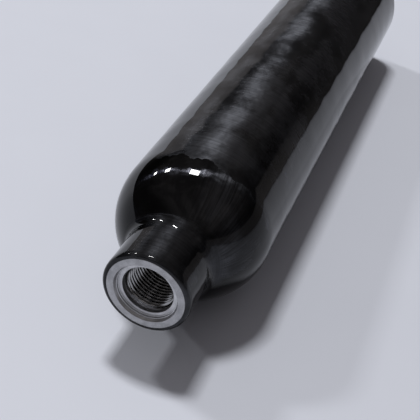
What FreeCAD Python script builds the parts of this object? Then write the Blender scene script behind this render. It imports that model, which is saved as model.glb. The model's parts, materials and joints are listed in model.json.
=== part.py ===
import FreeCAD, Part
import Sketcher
import math
import os

# Wound composite gas cylinder, lying along Y with its mouth facing -Y.
# Every piece is turned or wound about the Y axis. The origin is on that axis, where the
# neck thread begins. Sketches measure x as radius and y as distance in from the mouth face.

DIMENSIONS = {
    # mouth, seat and thread of the liner
    "neck_radius": 14.0,
    "seat_edge_radius": 11.35,
    "seat_floor_radius": 10.4,
    "seat_depth": 2.0,
    "relief_radius": 9.15,
    "relief_start": 2.15,
    "relief_end": 3.55,
    "taper_end_radius": 8.65,
    "taper_end": 4.75,
    "thread_start": 5.3,
    "thread_pitch": 1.5,
    "thread_grooves": 14,
    "thread_minor_radius": 8.188,
    "thread_major_radius": 9.0,
    "thread_crest_width": 0.375,
    "thread_root_width": 0.1875,
    "bore_end": 27.2,
    # liner body
    "shoulder_radius": 19.0,
    "liner_radius": 25.6,
    "liner_wall": 1.6,
    "dome_centre": 44.3,
    "straight_length": 226.0,
    "knuckle_x": 17.0,
    "crown_setback": 36.5,
    "boss_radius": 6.5,
    "boss_reach": 14.4,
    # what is wound and coated over the liner
    "barrier_thickness": 0.3,
    "inner_helical_thickness": 0.9,
    "hoop_thickness": 1.2,
    "hoop_taper": 6.0,
    "outer_ply_thickness": 0.9,
    "coat_thickness": 0.3,
    "neck_band_thickness": 1.4,
    "neck_fillet": 5.4,
    "lip_flat": 0.4,
    "plug_reach": 16.2,
}
SHEET = "Dimensions"


class Size:
    """A number and the spreadsheet expression that gives it."""

    def __init__(self, number, formula):
        self.number = number
        self.formula = formula

    def __add__(self, other):
        return Size(self.number + other.number, f"({self.formula} + {other.formula})")

    def __sub__(self, other):
        return Size(self.number - other.number, f"({self.formula} - {other.formula})")

    def __mul__(self, other):
        return Size(self.number * other.number, f"({self.formula} * {other.formula})")

    def __truediv__(self, other):
        return Size(self.number / other.number, f"({self.formula} / {other.formula})")


def size(name):
    return Size(DIMENSIONS[name], f"{SHEET}.{name}")


def leg(long_side, short_side):
    """The other short side of a right-angled triangle."""
    number = math.sqrt(long_side.number**2 - short_side.number**2)
    return Size(number, f"sqrt({long_side.formula}^2 - {short_side.formula}^2)")


def diagonal(one_side, other_side):
    """The long side of a right-angled triangle."""
    number = math.sqrt(one_side.number**2 + other_side.number**2)
    return Size(number, f"sqrt({one_side.formula}^2 + {other_side.formula}^2)")


ZERO = Size(0.0, "0")
HALF = Size(0.5, "0.5")
FULL_TURN = 360
ANTICLOCKWISE = 1
CLOCKWISE = -1

doc = FreeCAD.newDocument("gas_cylinder")
sheet = doc.addObject("Spreadsheet::Sheet", SHEET)
for row, (name, number) in enumerate(DIMENSIONS.items(), start=1):
    sheet.set(f"A{row}", name)
    sheet.set(f"B{row}", str(number))
    sheet.setAlias(f"B{row}", name)
doc.recompute()


def new_body(label):
    """A body whose sketches start at the mouth face, which lies ahead of the origin."""
    body = doc.addObject("PartDesign::Body", label)
    body.Label = label
    body.setExpression("Placement.Base.y", f"-{SHEET}.thread_start")
    return body


def origin_plane(body, role):
    return next(f for f in body.Origin.OriginFeatures if f.Role == role)


def hold_point(sketch, name, where, kind, axis, edge, point):
    """Fix one coordinate of a point, on the axis itself when it is zero."""
    if where is ZERO:
        sketch.addConstraint(Sketcher.Constraint("PointOnObject", edge, point, axis))
        return
    fixed = Sketcher.Constraint(kind, edge, point, where.number)
    sketch.setDatum(sketch.addConstraint(fixed), where.number)
    sketch.renameConstraint(sketch.ConstraintCount - 1, name)
    sketch.setExpression(f"Constraints.{name}", where.formula)


def draw(body, name, corners):
    """Sketch a closed outline and bind each corner and each arc's radius to the sheet.

    A corner is (x, y) when a straight edge leads on from it. When an arc leads on from it,
    the corner is (x, y, centre_x, centre_y, radius, turn).
    """
    sketch = body.newObject("Sketcher::SketchObject", name)
    sketch.AttachmentSupport = [(origin_plane(body, "XY_Plane"), "")]
    sketch.MapMode = "FlatFace"
    edges = []
    for corner, following in zip(corners, corners[1:] + corners[:1]):
        start = FreeCAD.Vector(corner[0].number, corner[1].number, 0)
        end = FreeCAD.Vector(following[0].number, following[1].number, 0)
        if len(corner) == 2:
            edges.append((sketch.addGeometry(Part.LineSegment(start, end)), 1, 2))
            continue
        centre_x, centre_y, radius, turn = corner[2:]
        centre = FreeCAD.Vector(centre_x.number, centre_y.number, 0)
        circle = Part.Circle(centre, FreeCAD.Vector(0, 0, 1), radius.number)
        ends = (start, end) if turn == ANTICLOCKWISE else (end, start)
        angles = [math.atan2(p.y - centre.y, p.x - centre.x) for p in ends]
        edge = sketch.addGeometry(Part.ArcOfCircle(circle, *angles))
        edges.append((edge, 1, 2) if turn == ANTICLOCKWISE else (edge, 2, 1))
    for number, (edge, start_point, _) in enumerate(edges):
        before, _, before_end = edges[number - 1]
        corner = corners[number]
        joined = Sketcher.Constraint("Coincident", before, before_end, edge, start_point)
        sketch.addConstraint(joined)
        hold_point(sketch, f"x{number}", corner[0], "DistanceX", -2, edge, start_point)
        hold_point(sketch, f"y{number}", corner[1], "DistanceY", -1, edge, start_point)
        if len(corner) > 2:
            radius = corner[4]
            sketch.addConstraint(Sketcher.Constraint("Radius", edge, radius.number))
            sketch.renameConstraint(sketch.ConstraintCount - 1, f"r{number}")
            sketch.setExpression(f"Constraints.r{number}", radius.formula)
    return sketch


def turn(label, corners):
    """A body made by turning a closed outline once round the Y axis."""
    body = new_body(label)
    sketch = draw(body, f"{label}_outline", corners)
    turned = body.newObject("PartDesign::Revolution", f"{label}_turned")
    turned.Profile = sketch
    turned.ReferenceAxis = (sketch, ["V_Axis"])
    turned.Angle = FULL_TURN
    sketch.Visibility = False
    body.Tip = turned
    return body


# Places shared by the pieces.
front = size("dome_centre")
back = front + size("straight_length")
neck = size("neck_radius")
pole = size("boss_radius")
liner = size("liner_radius")
inside = liner - size("liner_wall")
barrier = liner + size("barrier_thickness")
inner_ply = barrier + size("inner_helical_thickness")
hoop_ply = inner_ply + size("hoop_thickness")
outer_ply = hoop_ply + size("outer_ply_thickness")
coat_thickness = size("coat_thickness")
coat = outer_ply + coat_thickness
band = neck + size("neck_band_thickness")
coated_neck = band + coat_thickness
lip = neck + size("lip_flat")
lip_centre = coated_neck - lip
fillet = size("neck_fillet")
band_fillet = fillet + coat_thickness
fillet_x = coated_neck + fillet
fillet_y = front - leg(coat + fillet, fillet_x)
thread_start = size("thread_start")
minor = size("thread_minor_radius")
major = size("thread_major_radius")


def front_dome(radius, at_radius):
    """Distance in from the mouth to the front dome of one radius, off the axis."""
    return front - leg(radius, at_radius)


# The back dome of every layer is a tight knuckle arc, then a wide crown arc on the axis.
knuckle_x = size("knuckle_x")
crown_setback = size("crown_setback")
crown_y = back - crown_setback
centres_apart = diagonal(knuckle_x, crown_setback)


def crown(radius):
    """The crown arc's radius in the layer whose straight wall has this radius."""
    return centres_apart + radius - knuckle_x


def knuckle_end(radius):
    """Where the knuckle arc runs into the crown arc."""
    share = (radius - knuckle_x) / centres_apart
    return knuckle_x + knuckle_x * share, back + crown_setback * share


def back_dome(radius, at_radius):
    return crown_y + leg(crown(radius), at_radius)


def back_outwards(radius):
    """The back dome's two arcs from the straight wall towards the axis."""
    return [
        (radius, back, knuckle_x, back, radius - knuckle_x, ANTICLOCKWISE),
        (*knuckle_end(radius), ZERO, crown_y, crown(radius), ANTICLOCKWISE),
    ]


def back_inwards(radius, start):
    """The same two arcs from a start corner on the crown out to the straight wall."""
    return [
        (*start, ZERO, crown_y, crown(radius), CLOCKWISE),
        (*knuckle_end(radius), knuckle_x, back, radius - knuckle_x, CLOCKWISE),
        (radius, back),
    ]


def touch(radius):
    """Where the front dome of one radius runs into the fillet of the neck."""
    share = radius / (coat + fillet)
    return fillet_x * share, front - leg(coat + fillet, fillet_x) * share


def make_liner():
    shoulder = size("shoulder_radius")
    relief = size("relief_radius")
    boss_end = back + size("boss_reach")
    body = turn("liner", [
        (size("seat_edge_radius"), ZERO),
        (neck, ZERO),
        (neck, front_dome(liner, neck), ZERO, front, liner, ANTICLOCKWISE),
        (liner, front),
        *back_outwards(liner),
        (pole, back_dome(liner, pole)),
        (pole, boss_end),
        (ZERO, boss_end),
        *back_inwards(inside, (ZERO, crown_y + crown(inside))),
        (inside, front, ZERO, front, inside, CLOCKWISE),
        (shoulder, front_dome(inside, shoulder)),
        (minor, size("bore_end")),
        (minor, thread_start),
        (size("taper_end_radius"), size("taper_end")),
        (relief, size("relief_end")),
        (relief, size("relief_start")),
        (size("seat_floor_radius"), size("seat_depth")),
    ])
    # One thread groove between two crests, then a row of them.
    pitch = size("thread_pitch")
    mouth_side = thread_start + size("thread_crest_width")
    far_side = thread_start + pitch
    middle = (mouth_side + far_side) * HALF
    half_root = size("thread_root_width") * HALF
    sketch = draw(body, "thread_outline", [
        (minor * HALF, mouth_side),
        (minor, mouth_side),
        (major, middle - half_root),
        (major, middle + half_root),
        (minor, far_side),
        (minor * HALF, far_side),
    ])
    groove = body.newObject("PartDesign::Groove", "thread_groove")
    groove.Profile = sketch
    groove.ReferenceAxis = (sketch, ["V_Axis"])
    groove.Angle = FULL_TURN
    sketch.Visibility = False
    row = body.newObject("PartDesign::LinearPattern", "thread_grooves")
    row.Originals = [groove]
    row.Direction = (sketch, ["V_Axis"])
    row.setExpression("Length", f"({SHEET}.thread_grooves - 1) * {SHEET}.thread_pitch")
    row.setExpression("Occurrences", f"{SHEET}.thread_grooves")
    body.Tip = row
    return body


def make_ply(label, inner, outer, seat=()):
    """A wound layer over both domes, open at the neck and at the back pole.

    seat lists the corners that its inner wall has between the domes, from back to front.
    """
    return turn(label, [
        (neck, front_dome(inner, neck)),
        (neck, front_dome(outer, neck), ZERO, front, outer, ANTICLOCKWISE),
        (outer, front),
        *back_outwards(outer),
        (pole, back_dome(outer, pole)),
        *back_inwards(inner, (pole, back_dome(inner, pole))),
        *seat,
        (inner, front, ZERO, front, inner, CLOCKWISE),
    ])


def make_hoop(ramp):
    return turn("hoop_ply", [(inner_ply, front), *reversed(ramp), (inner_ply, back)])


def make_neck_band():
    lip_radius = band - lip
    return turn("neck_band", [
        (neck, coat_thickness),
        (lip, coat_thickness, lip, lip_centre, lip_radius, ANTICLOCKWISE),
        (band, lip_centre),
        (band, fillet_y, fillet_x, fillet_y, band_fillet, CLOCKWISE),
        (*touch(outer_ply), ZERO, front, outer_ply, CLOCKWISE),
        (neck, front_dome(outer_ply, neck)),
    ])


def make_coat():
    return turn("gel_coat", [
        (neck, ZERO),
        (lip, ZERO, lip, lip_centre, lip_centre, ANTICLOCKWISE),
        (coated_neck, lip_centre),
        (coated_neck, fillet_y, fillet_x, fillet_y, fillet, CLOCKWISE),
        (*touch(coat), ZERO, front, coat, ANTICLOCKWISE),
        (coat, front),
        *back_outwards(coat),
        (pole, back_dome(coat, pole)),
        *back_inwards(outer_ply, (pole, back_dome(outer_ply, pole))),
        (outer_ply, front, ZERO, front, outer_ply, CLOCKWISE),
        (*touch(outer_ply), fillet_x, fillet_y, band_fillet, ANTICLOCKWISE),
        (band, fillet_y),
        (band, lip_centre, lip, lip_centre, band - lip, CLOCKWISE),
        (lip, coat_thickness),
        (neck, coat_thickness),
    ])


def make_plug():
    inner_face = back + size("boss_reach")
    outer_face = back + size("plug_reach")
    return turn("base_plug", [
        (ZERO, inner_face),
        (pole, inner_face),
        (pole, outer_face),
        (ZERO, outer_face),
    ])


taper = size("hoop_taper")
ramp = [(hoop_ply, back - taper), (hoop_ply, front + taper)]
bodies = [
    make_liner(),
    make_ply("barrier_ply", liner, barrier),
    make_ply("inner_helical_ply", barrier, inner_ply),
    make_hoop(ramp),
    make_ply("outer_ply", inner_ply, outer_ply, ramp),
    make_neck_band(),
    make_coat(),
    make_plug(),
]
doc.recompute()

for item in doc.Objects:
    if "Invalid" in item.State or "Error" in item.State:
        raise RuntimeError(f"{item.Name} did not rebuild: {item.State}")
os.makedirs("parts", exist_ok=True)
for body in bodies:
    if body.Shape.isNull() or not body.Shape.isValid() or len(body.Shape.Solids) != 1:
        raise RuntimeError(f"{body.Label} is not one sound solid")
    body.Shape.exportStep(f"parts/{body.Label}.step")
    box = body.Shape.BoundBox
    volume = round(body.Shape.Volume, 1)
    print(body.Label, volume, round(box.YMin, 2), round(box.YMax, 2), round(box.XMax, 2))
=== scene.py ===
import json
import math

import bpy
import numpy as np
from mathutils import Matrix, Vector


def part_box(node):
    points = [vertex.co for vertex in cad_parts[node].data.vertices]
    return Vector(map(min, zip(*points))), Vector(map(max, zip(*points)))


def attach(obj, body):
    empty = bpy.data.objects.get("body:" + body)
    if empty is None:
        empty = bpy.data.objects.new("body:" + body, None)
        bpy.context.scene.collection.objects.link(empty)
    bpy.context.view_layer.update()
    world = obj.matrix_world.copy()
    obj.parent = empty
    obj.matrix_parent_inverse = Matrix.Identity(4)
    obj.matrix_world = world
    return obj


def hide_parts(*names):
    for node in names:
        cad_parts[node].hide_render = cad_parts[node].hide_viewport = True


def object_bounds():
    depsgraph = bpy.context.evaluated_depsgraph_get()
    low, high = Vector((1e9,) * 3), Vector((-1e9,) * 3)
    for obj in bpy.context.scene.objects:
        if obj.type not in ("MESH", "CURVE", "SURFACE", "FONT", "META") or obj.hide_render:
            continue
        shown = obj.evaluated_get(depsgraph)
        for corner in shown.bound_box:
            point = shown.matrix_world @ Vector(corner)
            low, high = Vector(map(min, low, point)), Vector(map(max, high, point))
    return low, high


# The wound gas cylinder of part.py, with its real surfaces. Outlines are in millimetres until a
# mesh is made, radii are measured from the Y axis, and "along" is the Y of the CAD frame.
# Materials, lamps and the table are in metres.

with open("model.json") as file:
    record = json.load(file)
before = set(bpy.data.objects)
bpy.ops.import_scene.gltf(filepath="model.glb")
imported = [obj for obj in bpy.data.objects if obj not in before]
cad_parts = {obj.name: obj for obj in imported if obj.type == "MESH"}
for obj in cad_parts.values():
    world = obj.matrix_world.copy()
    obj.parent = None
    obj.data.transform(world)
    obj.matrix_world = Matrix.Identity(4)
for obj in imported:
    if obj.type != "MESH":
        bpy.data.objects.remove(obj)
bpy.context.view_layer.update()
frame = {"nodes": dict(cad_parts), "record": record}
MM = 0.001
mounts = {mount["name"]: mount for mount in frame["record"]["mounts"]}


def along_mm(place):
    return place[1] / MM


# Sizes read from the frame.
MOUTH = along_mm(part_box("liner")[0])
BOSS_END = along_mm(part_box("liner")[1])
PLUG_END = along_mm(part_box("base_plug")[1])
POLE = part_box("base_plug")[1].x / MM
WALL = mounts["wall_grip"]["dims"]["r_mm"]
STRAIGHT = mounts["wall_grip"]["dims"]["length_mm"]
FRONT = along_mm(mounts["wall_grip"]["pos_m"]) - STRAIGHT / 2
BACK = FRONT + STRAIGHT
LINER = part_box("liner")[1].x / MM
INNER_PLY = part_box("inner_helical_ply")[1].x / MM
HOOP_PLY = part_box("hoop_ply")[1].x / MM
THREAD_MINOR = mounts["neck_thread"]["dims"]["r_mm"]
THREAD_END = mounts["neck_thread"]["dims"]["length_mm"]
RELIEF = mounts["valve_relief"]["dims"]["r_mm"]

# Sizes that the frame doesn't state, the same as in part.py.
NECK = 14.0
COATED_NECK = 15.7
NECK_FILLET = 5.4
LIP_FLAT = 0.4
HOOP_TAPER = 6.0
SEAT_EDGE = 11.35
SEAT_DEPTH = 2.0
RELIEF_START = 2.15
RELIEF_END = 3.55
TAPER_END = 4.75
TAPER_RADIUS = 8.65
THREAD_PITCH = 1.5
THREAD_DEPTH = 0.812
LINER_WALL = 1.6
SHOULDER = 19.0
KNUCKLE_X = 17.0
CROWN_SETBACK = 36.5

# An outline can't touch the axis, so a solid end has a hole of this radius, too small to see.
NEAR_AXIS = 0.02


# ---------------------------------------------------------------- outlines and meshes


def line(start, end, step):
    """Points from start up to but not including end, about step apart."""
    count = max(1, round(math.dist(start, end) / step))
    return [
        (start[0] + (end[0] - start[0]) * i / count, start[1] + (end[1] - start[1]) * i / count)
        for i in range(count)
    ]


def path(*corners):
    """Straight runs through (radius, along, step to the next) corners, without the last one."""
    points = []
    for (radius, along, step), (next_radius, next_along, _) in zip(corners, corners[1:]):
        points += line((radius, along), (next_radius, next_along), step)
    return points


def arc(centre, radius, first, last, step):
    """Points on an arc, without its last one. Angles in degrees, 0 outwards, 90 along +Y."""
    first, last = math.radians(first), math.radians(last)
    count = max(2, round(abs(last - first) * radius / step))
    angles = [first + (last - first) * i / count for i in range(count)]
    return [(centre[0] + radius * math.cos(a), centre[1] + radius * math.sin(a)) for a in angles]


def slope(radius, at_radius):
    """The angle up from the radial direction of a dome's point, in degrees."""
    return math.degrees(math.acos(at_radius / radius))


def near_edge(radius, at_radius):
    """How far along the axis one layer's near dome, a hemisphere, reaches at at_radius."""
    return FRONT - math.sqrt(radius**2 - at_radius**2)


def crown(radius):
    """The far dome's wide arc, in the layer whose straight wall has this radius."""
    return math.hypot(KNUCKLE_X, CROWN_SETBACK) + radius - KNUCKLE_X


def far_dome(radius, at_radius, step, inwards=False):
    """One layer's far dome from its straight wall to at_radius, or back the other way."""
    turn = math.degrees(math.atan2(CROWN_SETBACK, KNUCKLE_X))
    end = slope(crown(radius), at_radius)
    knuckle, centre = (KNUCKLE_X, BACK), (0, BACK - CROWN_SETBACK)
    if inwards:
        return arc(centre, crown(radius), end, turn, step) + arc(
            knuckle, radius - KNUCKLE_X, turn, 0, step)
    return arc(knuckle, radius - KNUCKLE_X, 0, turn, step) + arc(
        centre, crown(radius), turn, end, step)


def far_edge(radius, at_radius):
    """How far along the axis one layer's far dome reaches at at_radius."""
    return BACK - CROWN_SETBACK + math.sqrt(crown(radius)**2 - at_radius**2)


def revolve(name, outline, columns, shift=None):
    """A closed solid of revolution about Y from a closed outline of (radius, along) points.

    shift gives each point's new radius and along from its outline point, normal and angle.
    """
    points = np.array(outline)
    ahead = np.roll(points, -1, 0) - np.roll(points, 1, 0)
    ahead /= np.linalg.norm(ahead, axis=1)[:, None]
    normals = np.stack([ahead[:, 1], -ahead[:, 0]], 1)
    angles = np.arange(columns) * 2 * math.pi / columns
    radius = np.repeat(points[:, :1], columns, 1)
    along = np.repeat(points[:, 1:], columns, 1)
    if shift is not None:
        radius, along = shift(radius, along, normals[:, :1], normals[:, 1:], angles[None, :])
    places = np.stack([radius * np.sin(angles), along, radius * np.cos(angles)], 2) * MM
    rings = len(points)
    ring, column = np.meshgrid(np.arange(rings), np.arange(columns), indexing="ij")
    here, next_ring = ring * columns, (ring + 1) % rings * columns
    next_column = (column + 1) % columns
    faces = np.stack(
        [here + column, here + next_column, next_ring + next_column, next_ring + column], 2
    )
    mesh = bpy.data.meshes.new(name)
    mesh.from_pydata(places.reshape(-1, 3).tolist(), [], faces.reshape(-1, 4).tolist())
    mesh.shade_smooth()
    sharpest_smooth_edge = math.radians(40)
    mesh.set_sharp_from_angle(angle=sharpest_smooth_edge)
    piece = bpy.data.objects.new(name, mesh)
    bpy.context.scene.collection.objects.link(piece)
    return piece


def waves(seed, count, turns, lengths):
    """A sum of waves over the wall that closes on itself, about 1 high.

    turns is the range of whole waves round the wall, lengths that of one wave along it.
    """
    random = np.random.default_rng(seed)
    parts = [
        (
            random.integers(turns[0], turns[1] + 1),
            random.choice([-1, 1]) * 2 * math.pi / random.uniform(*lengths),
            random.uniform(0, 2 * math.pi),
        )
        for _ in range(count)
    ]
    scale = 1 / math.sqrt(count)
    return lambda angle, along: scale * sum(
        np.cos(turn * angle + rate * along + phase) for turn, rate, phase in parts
    )


def smooth_step(low, high, value):
    share = np.clip((value - low) / (high - low), 0, 1)
    return share * share * (3 - 2 * share)


# ---------------------------------------------------------------- materials


def grey(level, blue=None):
    """A neutral colour, or one with a blue level of its own."""
    return (level, level, level if blue is None else blue, 1)


class Nodes:
    """A node tree with short ways to add and join nodes."""

    def __init__(self, tree):
        self.tree = tree

    def add(self, kind, settings=None, **inputs):
        node = self.tree.nodes.new(kind)
        for key, value in (settings or {}).items():
            setattr(node, key, value)
        for key, value in inputs.items():
            self.put(node.inputs[key], value)
        return node

    def put(self, socket, value):
        if isinstance(value, bpy.types.NodeSocket):
            self.tree.links.new(value, socket)
        else:
            socket.default_value = value

    def put_all(self, sockets, values):
        for socket, value in zip(sockets, values):
            self.put(socket, value)

    def math(self, operation, *values):
        node = self.add("ShaderNodeMath", {"operation": operation})
        self.put_all(node.inputs, values)
        return node.outputs[0]

    def times(self, first, second):
        return self.math("MULTIPLY", first, second)

    def plus(self, first, second):
        return self.math("ADD", first, second)

    def minus(self, first, second):
        return self.math("SUBTRACT", first, second)

    def split(self, vector):
        return self.add("ShaderNodeSeparateXYZ", Vector=vector).outputs

    def join(self, x, y, z):
        return self.add("ShaderNodeCombineXYZ", X=x, Y=y, Z=z).outputs[0]

    def vector(self, operation, *values):
        node = self.add("ShaderNodeVectorMath", {"operation": operation})
        self.put_all(node.inputs, values)
        return node.outputs[0]

    def unit(self, vector):
        return self.vector("NORMALIZE", vector)

    def scaled(self, vector, factor):
        return self.add("ShaderNodeVectorMath", {"operation": "SCALE"},
                        Vector=vector, Scale=factor).outputs[0]

    def noise(self, vector, scale=1.0, detail=2.0, roughness=0.5):
        node = self.add("ShaderNodeTexNoise", Vector=vector, Scale=scale, Detail=detail,
                        Roughness=roughness)
        return node.outputs["Fac"]

    def ramp(self, value, low, high, new_low=0.0, new_high=1.0):
        """A smooth change from new_low to new_high as value goes from low to high."""
        node = self.add("ShaderNodeMapRange", {"interpolation_type": "SMOOTHSTEP", "clamp": True})
        keys = ("Value", "From Min", "From Max", "To Min", "To Max")
        self.put_all([node.inputs[key] for key in keys], (value, low, high, new_low, new_high))
        return node.outputs["Result"]

    def mixed(self, kind, sockets, output, values):
        node = self.add("ShaderNodeMix", {"data_type": kind})
        self.put_all([node.inputs[socket] for socket in sockets], values)
        return node.outputs[output]

    def blend(self, factor, first, second):
        return self.mixed("FLOAT", (0, 2, 3), 0, (factor, first, second))

    def blend_vector(self, factor, first, second):
        return self.mixed("VECTOR", (0, 4, 5), 1, (factor, first, second))

    def mix(self, factor, first, second):
        """A blend of two colours."""
        return self.mixed("RGBA", (0, 6, 7), 2, (factor, first, second))

    def bump(self, height, strength, distance, normal=None):
        node = self.add("ShaderNodeBump", Height=height, Strength=strength, Distance=distance)
        if normal is not None:
            self.put(node.inputs["Normal"], normal)
        return node.outputs["Normal"]


class Shader(Nodes):
    """A new node material."""

    def __init__(self, name):
        self.material = bpy.data.materials.new(name)
        self.material.use_nodes = True
        super().__init__(self.material.node_tree)
        self.surface = self.tree.nodes["Principled BSDF"]

    def place(self):
        return self.add("ShaderNodeTexCoord").outputs["Object"]

    def winding(self, angle, y, rate, fineness, fineness_along):
        """A place on a round wall whose lines of equal angle climb at rate, in radians a metre."""
        turned = self.plus(angle, self.times(y, rate))
        return self.join(self.times(self.math("COSINE", turned), fineness),
                         self.times(self.math("SINE", turned), fineness),
                         self.times(y, fineness_along))

    def set(self, **inputs):
        for key, value in inputs.items():
            self.put(self.surface.inputs[key.replace("_", " ")], value)


def wound_carbon():
    """Black carbon tows under a clear gloss coat.

    The fibres shine across their own direction, so the tangent follows the winding: hoops on the
    wall and neck, steep helices over the shoulder.
    """
    shader = Shader("wound_carbon")
    place = shader.place()
    x, y, z = shader.split(place)
    angle = shader.math("ARCTAN2", x, z)
    around = shader.unit(shader.join(z, 0.0, shader.times(x, -1.0)))
    normal = shader.add("ShaderNodeNewGeometry").outputs["Normal"]
    up_wall = shader.unit(shader.vector("CROSS_PRODUCT", normal, around))

    # The wall's hoops run onto both domes and end in a ragged edge. The neck has hoops too.
    past_wall, edge_width, raggedness = 3.4 * MM, 0.1 * MM, 9 * MM
    ragged = shader.minus(shader.noise(place, scale=170, detail=2), 0.5)
    edge = shader.plus(y, shader.times(ragged, raggedness))
    wall_start, wall_end = FRONT * MM - past_wall, BACK * MM + past_wall
    wall_part = shader.times(shader.ramp(edge, wall_start, wall_start + edge_width),
                             shader.ramp(edge, wall_end + edge_width, wall_end))
    neck_part = shader.ramp(y, 17.5 * MM, 15.0 * MM)
    hoops = shader.math("MAXIMUM", wall_part, neck_part)

    # Hoop tows change quickly along Y and slowly round it. Helical tows climb the shoulder.
    hoop_place = shader.vector("MULTIPLY", place, (46, 2600, 46))
    hoop = shader.noise(hoop_place, detail=5, roughness=0.6)
    climb_place = shader.winding(angle, y, 7.5, 48.0, 70.0)
    climb = shader.noise(climb_place, detail=5, roughness=0.65)
    fibre = shader.blend(hoops, climb, hoop)

    # The direction that the light spreads in, across the fibres.
    tows = shader.noise(place, scale=120, detail=3, roughness=0.6)
    jitter = shader.times(shader.minus(tows, 0.5), 0.30)
    lean = shader.plus(shader.ramp(x, -0.010, 0.008, 0.14, 0.46), jitter)
    wander = shader.minus(shader.noise(place, scale=60, detail=3), 0.5)
    steep = shader.vector("ADD", around, shader.scaled(up_wall, lean))
    shallow = shader.vector("ADD", up_wall, shader.scaled(around, shader.times(wander, 0.7)))
    tangent = shader.unit(shader.blend_vector(hoops, steep, shallow))

    # How much fibre shows: by tow, by patch, and by the part of the cylinder. On the shoulder the
    # fibre is also painted paler towards +X, a painted sheen that brightens the highlight line on
    # that side.
    by_tow = shader.ramp(fibre, 0.32, 0.68, shader.blend(hoops, 0.05, 0.5), 1.0)
    mottle_place = shader.vector("MULTIPLY", place, (62, 48, 62))
    patches = shader.ramp(shader.noise(mottle_place, detail=5, roughness=0.6), 0.38, 0.58)
    by_patch = shader.plus(0.2, shader.times(patches, 0.8))
    # Painted sheen: the shoulder's fibre is paler towards +X, so its highlight line shines
    # brighter there.
    shoulder_painted_sheen = shader.ramp(x, 0.000, 0.014, 0.07, 0.42)
    on_neck, on_wall = 0.45, 0.80
    by_part_and_painted_sheen = shader.blend(wall_part, shader.blend(neck_part, shoulder_painted_sheen, on_neck), on_wall)
    shown = shader.times(shader.times(by_tow, by_patch), by_part_and_painted_sheen)

    shoulder_roughness = shader.ramp(x, 0.002, 0.014, 0.17, 0.27)
    hoop_roughness = shader.ramp(fibre, 0.2, 0.8, 0.66, 0.58)
    resin = shader.bump(shader.noise(place, scale=150, detail=2), 1.0, 0.28 * MM)
    shader.set(
        Base_Color=shader.mix(shown, grey(0.004, 0.005), (0.115, 0.120, 0.136, 1)),
        Metallic=1.0,
        Roughness=shader.blend(hoops, shoulder_roughness, hoop_roughness),
        Anisotropic=1.0,
        Specular_Tint=grey(0.0),
        Tangent=tangent,
        Normal=shader.bump(fibre, shader.blend(hoops, 0.12, 0.25), 0.1 * MM, resin),
        Coat_Weight=1.0,
        Coat_Roughness=0.02,
        Coat_IOR=1.33,
    )
    return shader.material


def turned_aluminium():
    """Aluminium with fine turning marks, smoothest in the thread. Its colour is painted by ring:
    palest on the seat as painted light, darker on the face and darkest in the bore as painted
    shade.
    """
    shader = Shader("turned_aluminium")
    place = shader.place()
    x, y, z = shader.split(place)
    radius = shader.math("SQRT", shader.plus(shader.times(x, x), shader.times(z, z)))
    marks_per_metre = 9000.0
    marks_place = shader.join(shader.times(radius, marks_per_metre),
                              shader.times(y, marks_per_metre), 0.0)
    marks = shader.noise(marks_place, detail=3)
    grain = shader.noise(place, scale=5200, detail=2)
    stain = shader.noise(place, scale=260, detail=3)
    tone = shader.plus(shader.times(stain, 0.6), shader.times(grain, 0.4))
    shade = shader.ramp(tone, 0.35, 0.65)
    on_face = shader.ramp(radius, 11.2 * MM, 11.4 * MM)
    in_bore = shader.ramp(radius, 9.0 * MM, 8.8 * MM)
    # The ring tones are painted light and shade on one metal: the seat is painted paler, the face
    # darker, and the bore darkest, standing in for the shade in the hole.
    face = shader.mix(shade, grey(0.35, 0.36), grey(0.49, 0.50))
    seat = shader.mix(shade, grey(0.46, 0.47), grey(0.64, 0.65))
    bore = shader.mix(tone, grey(0.26, 0.262), grey(0.50))
    height = shader.plus(shader.times(marks, 0.6), shader.times(grain, 0.4))
    by_tone = shader.ramp(tone, 0.3, 0.7, 0.06, -0.04)
    by_place = shader.ramp(radius, 8.8 * MM, 9.1 * MM, 0.16, 0.38)
    shader.set(
        Base_Color=shader.mix(in_bore, shader.mix(on_face, seat, face), bore),
        Metallic=1.0,
        Roughness=shader.plus(by_tone, by_place),
        Normal=shader.bump(height, shader.blend(in_bore, 0.25, 0.05), 0.04 * MM),
    )
    return shader.material


def wound_fibre(name, dark, light, rate, rough):
    """An inner ply, with its tows at one rate of turn along the wall."""
    shader = Shader(name)
    x, y, z = shader.split(shader.place())
    tow_place = shader.winding(shader.math("ARCTAN2", x, z), y, rate, 30.0, 30.0)
    tows = shader.noise(tow_place, detail=5, roughness=0.65)
    shader.set(
        Base_Color=shader.mix(shader.ramp(tows, 0.3, 0.7), dark, light),
        Roughness=shader.ramp(tows, 0.3, 0.7, rough + 0.1, rough),
        Normal=shader.bump(tows, 0.4, 0.2 * MM),
    )
    return shader.material


def moulded_black():
    shader = Shader("moulded_black")
    grain = shader.noise(shader.place(), scale=2600, detail=3)
    shader.set(
        Base_Color=shader.mix(grain, grey(0.016, 0.017), grey(0.032, 0.034)),
        Roughness=shader.ramp(grain, 0.3, 0.7, 0.42, 0.56),
        Normal=shader.bump(grain, 0.3, 0.05 * MM),
    )
    return shader.material


def pale_table():
    shader = Shader("pale_table")
    speck = shader.noise(shader.place(), scale=30, detail=3)
    shader.set(
        Base_Color=shader.mix(speck, (0.700, 0.728, 0.815, 1), (0.720, 0.748, 0.835, 1)),
        Roughness=0.6,
    )
    return shader.material


# ---------------------------------------------------------------- the wound shell


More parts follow.
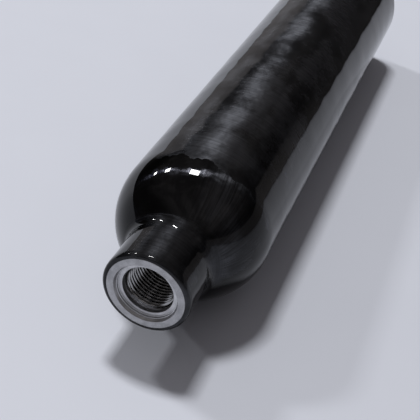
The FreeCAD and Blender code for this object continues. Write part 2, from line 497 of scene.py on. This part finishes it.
def lip_outline():
    """The black lip: flat beside the face, then a tight arc and a gentle one onto the neck."""
    flat_end = NECK + LIP_FLAT
    gentle, gentle_turn = 6.0, 11
    across, ahead = math.cos(math.radians(gentle_turn)), math.sin(math.radians(gentle_turn))
    tight = (COATED_NECK - flat_end - gentle * (1 - across)) / across
    lip_end = MOUTH + tight + (gentle - tight) * ahead
    points = (
        line((NECK, MOUTH), (flat_end, MOUTH), 0.2)
        + arc((flat_end, MOUTH + tight), tight, -90, -gentle_turn, 0.15)
        + arc((COATED_NECK - gentle, lip_end), gentle, -gentle_turn, 0, 0.2)
    )
    return points, lip_end


def shell_outline():
    """The outside as it shows, then back along the faces that meet the plies and liner."""
    lip, lip_end = lip_outline()
    centre_x = COATED_NECK + NECK_FILLET
    reach = WALL + NECK_FILLET
    centre_y = near_edge(reach, centre_x)
    fillet_end = 180 - slope(reach, centre_x)
    touch_x = centre_x * WALL / reach
    near_wall = FRONT + 30
    outside = (
        lip
        + line((COATED_NECK, lip_end), (COATED_NECK, centre_y), 0.5)
        + arc((centre_x, centre_y), NECK_FILLET, 180, fillet_end, 0.16)
        + arc((0, FRONT), WALL, -slope(WALL, touch_x), 0, 0.42)
        + path((WALL, FRONT, 0.9), (WALL, near_wall, 1.5), (WALL, BACK, 0))
        + far_dome(WALL, POLE, 0.9)
    )
    inside = (
        line((POLE, far_edge(WALL, POLE)), (POLE, far_edge(INNER_PLY, POLE)), 1.5)
        + far_dome(INNER_PLY, POLE, 3, inwards=True)
        + path(
            (INNER_PLY, BACK, 8),
            (HOOP_PLY, BACK - HOOP_TAPER, 30),
            (HOOP_PLY, FRONT + HOOP_TAPER, 8),
            (INNER_PLY, FRONT, 0),
        )
        + arc((0, FRONT), INNER_PLY, 0, -slope(INNER_PLY, NECK), 4)
        + line((NECK, near_edge(INNER_PLY, NECK)), (NECK, MOUTH), 6)
    )
    return outside, inside


def make_shell():
    outside, inside = shell_outline()
    swell = waves(11, 14, (1, 7), (11, 45))
    tow_edges = waves(21, 16, (0, 7), (3.5, 9))
    inset, swell_height, tow_height = 0.10, 0.026, 0.004
    sink, climb_height = 0.1, 3.4

    def shift(radius, along, out_radius, out_along, angle):
        """Set the outside in by an uneven amount, and lean the fillet behind the neck."""
        shown = (np.arange(len(radius)) < len(outside))[:, None]
        depth = inset + swell_height * swell(angle, along) + tow_height * tow_edges(angle, along)
        depth = np.clip(depth, 0, None) * smooth_step(MOUTH + 1.5, MOUTH + 8, along) * shown
        # The resin in the corner of the neck climbs towards the mouth on the +X side.
        corner = smooth_step(7, 11, along) * (1 - smooth_step(15, 24, along)) * shown
        climb = corner * (-sink - climb_height * np.sin(angle) * np.cos(angle) ** 2)
        return radius - depth * out_radius, along - depth * out_along + climb

    shell = revolve("wound_shell", outside + inside, 240, shift)
    shell.data.materials.append(wound_carbon())
    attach(shell, "root")
    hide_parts("outer_ply", "neck_band", "gel_coat")


# ---------------------------------------------------------------- the aluminium liner


def cut_thread(radius, along, out_radius, out_along, angle):
    """Cut a right-handed 60 degree helix into the bore, from its chamfer to its last turn."""
    before_chamfer = MOUTH + TAPER_END - 0.1
    tapped = (along > before_chamfer) & (along < THREAD_END)
    tapped &= (radius > 1) & (radius < RELIEF - 0.001)
    # Shares of a pitch, from the middle of the root: where its flat ends and the crest starts.
    root_edge, crest_edge = 1 / 16, 3 / 8
    turn = (along / THREAD_PITCH - angle / (2 * math.pi)) % 1.0
    from_root = np.abs(turn - 0.5)
    flank = np.clip((crest_edge - from_root) / (crest_edge - root_edge), 0, 1)
    run_out = 1 - smooth_step(THREAD_END - 1.5, THREAD_END - 0.3, along)
    groove = THREAD_MINOR + THREAD_DEPTH * flank * run_out
    return np.where(tapped, np.maximum(radius, groove), radius), along


def make_liner():
    bevel = 0.12
    inside = LINER - LINER_WALL
    fine = THREAD_PITCH / 16
    neck_outside = path(
        (SEAT_EDGE + bevel, MOUTH, 0.8),
        (NECK - bevel, MOUTH, 0.3),
        (NECK, MOUTH + bevel, 6),
        (NECK, near_edge(LINER, NECK), 0),
    )
    boss = path(
        (POLE, far_edge(LINER, POLE), 3),
        (POLE, BOSS_END, 3),
        (NEAR_AXIS, BOSS_END, 3),
        (NEAR_AXIS, far_edge(inside, NEAR_AXIS), 0),
    )
    # From the shoulder out through the thread, the relief and the stepped seat to the face.
    bore = path(
        (SHOULDER, near_edge(inside, SHOULDER), 3),
        (THREAD_MINOR + bevel, THREAD_END + bevel, 0.2),
        (THREAD_MINOR, THREAD_END, fine),
        (THREAD_MINOR, 0, fine),
        (TAPER_RADIUS, MOUTH + TAPER_END, fine),
        (RELIEF, MOUTH + RELIEF_END, 0.5),
        (RELIEF, MOUTH + RELIEF_START, 0.1),
        (RELIEF + 0.1, MOUTH + 2.06, 0.3),
        (10.24, MOUTH + SEAT_DEPTH, 0.1),
        (10.30, MOUTH + 1.82, 0.1),
        (10.50, MOUTH + 1.76, 0.2),
        (10.66, MOUTH + 1.20, 0.1),
        (10.86, MOUTH + 1.12, 0.3),
        (SEAT_EDGE, MOUTH + bevel, 0.12),
        (SEAT_EDGE + bevel, MOUTH, 0),
    )
    outline = (
        neck_outside
        + arc((0, FRONT), LINER, -slope(LINER, NECK), 0, 3)
        + line((LINER, FRONT), (LINER, BACK), 40)
        + far_dome(LINER, POLE, 3)
        + boss
        + far_dome(inside, NEAR_AXIS, 3, inwards=True)
        + line((inside, BACK), (inside, FRONT), 40)
        + arc((0, FRONT), inside, 0, -slope(inside, SHOULDER), 2)
        + bore
    )
    liner = revolve("liner_turned", outline, 180, cut_thread)
    liner.data.materials.append(turned_aluminium())
    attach(liner, "root")
    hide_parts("liner")


def make_plug():
    """The button in the far pole, with a rounded rim and a shallow dimple."""
    bevel = 0.5
    dimple, dimple_depth = 1.8, 0.4
    outline = (
        path(
            (NEAR_AXIS, BOSS_END, 2),
            (POLE, BOSS_END, 0.6),
            (POLE, PLUG_END - bevel, 0),
        )
        + arc((POLE - bevel, PLUG_END - bevel), bevel, 0, 90, 0.12)
        + path(
            (POLE - bevel, PLUG_END, 1),
            (dimple, PLUG_END, 0.2),
            (dimple - 0.5, PLUG_END - dimple_depth, 0.5),
            (NEAR_AXIS, PLUG_END - dimple_depth, 0),
        )
    )
    plug = revolve("base_button", outline, 64)
    plug.data.materials.append(moulded_black())
    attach(plug, "root")
    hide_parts("base_plug")


def dress_inner_plies():
    carbon_dark = grey(0.008, 0.010)
    plies = {
        "barrier_ply": wound_fibre(
            "glass_ply", (0.42, 0.45, 0.36, 1), (0.66, 0.69, 0.60, 1), 90.0, 0.35),
        "inner_helical_ply": wound_fibre(
            "helical_ply", carbon_dark, (0.05, 0.052, 0.06, 1), 30.0, 0.32),
        "hoop_ply": wound_fibre(
            "hoop_carbon", carbon_dark, (0.06, 0.062, 0.07, 1), 900.0, 0.30),
    }
    for node, material in plies.items():
        frame["nodes"][node].data.materials.clear()
        frame["nodes"][node].data.materials.append(material)


# ---------------------------------------------------------------- the studio


def make_floor():
    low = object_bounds()[0].z
    reach = 15.0
    corners = [(reach * x, reach * y, low) for x, y in ((-1, -1), (1, -1), (1, 1), (-1, 1))]
    mesh = bpy.data.meshes.new("floor")
    mesh.from_pydata(corners, [], [(0, 1, 2, 3)])
    floor = bpy.data.objects.new("floor", mesh)
    bpy.context.scene.collection.objects.link(floor)
    floor.data.materials.append(pale_table())


def make_lamps():
    """Three equal rectangular ceiling lamps that face straight down."""
    ceiling = 4.0
    # Each lamp's place is X and Y as shares of the ceiling's height.
    places = {"near": (-0.231, 0.266), "middle": (-1.055, 0.376), "far": (-1.845, 0.538)}
    for name, (x, y) in places.items():
        light = bpy.data.lights.new(name + "_lamp", "AREA")
        light.shape = "RECTANGLE"
        light.size, light.size_y = 0.80, 0.453
        light.energy = 103.8
        lamp = bpy.data.objects.new(name + "_lamp", light)
        lamp.location = (x * ceiling, y * ceiling, ceiling)
        bpy.context.scene.collection.objects.link(lamp)


def make_room():
    """A dim room with a cloudy ceiling, a low light wall on the right and a screen at the left."""
    world = bpy.data.worlds.new("room")
    world.use_nodes = True
    bpy.context.scene.world = world
    room = Nodes(world.node_tree)
    direction = room.add("ShaderNodeTexCoord").outputs["Generated"]
    right, ahead, height = room.split(direction)
    cloud_noise = room.noise(direction, scale=2.6, detail=3, roughness=0.55)
    clouds = room.plus(0.7, room.times(room.ramp(cloud_noise, 0.42, 0.62), 0.6))
    ceiling = room.times(room.ramp(height, 0.30, 0.70, 0.030, 0.180), clouds)
    behind = room.ramp(ahead, 0.1, -0.5, 0.0, 0.03)
    wall = room.times(room.ramp(right, 0.45, 0.60), room.ramp(height, 0.24, 0.20, 0.0, 0.15))
    screen_edge = room.times(room.ramp(right, -0.26, -0.34), room.ramp(ahead, 0.66, 0.74))
    screen = room.times(screen_edge, room.ramp(height, 0.33, 0.29, 0.0, 0.22))
    strength = room.plus(room.plus(wall, screen), room.plus(behind, ceiling))
    background = room.tree.nodes["Background"]
    background.inputs["Color"].default_value = (1.0, 0.94, 0.95, 1)
    room.put(background.inputs["Strength"], strength)


def make_camera():
    place = Vector((72.35, MOUTH - 189.9, 188.2)) * MM
    turn, drop, roll = math.radians(16.08), math.radians(36.69), math.radians(8.17)
    camera = bpy.data.cameras.new("camera")
    camera.lens = 73.0
    camera.sensor_width = 36.0
    camera.clip_start = 0.01
    holder = bpy.data.objects.new("camera", camera)
    holder.matrix_world = (
        Matrix.Translation(place)
        @ Matrix.Rotation(turn, 4, "Z")
        @ Matrix.Rotation(math.pi / 2 - drop, 4, "X")
        @ Matrix.Rotation(roll, 4, "Z")
    )
    bpy.context.scene.collection.objects.link(holder)
    bpy.context.scene.camera = holder


make_shell()
make_liner()
make_plug()
dress_inner_plies()
make_floor()
make_lamps()
make_room()
make_camera()
bpy.context.scene.view_settings.view_transform = "Standard"
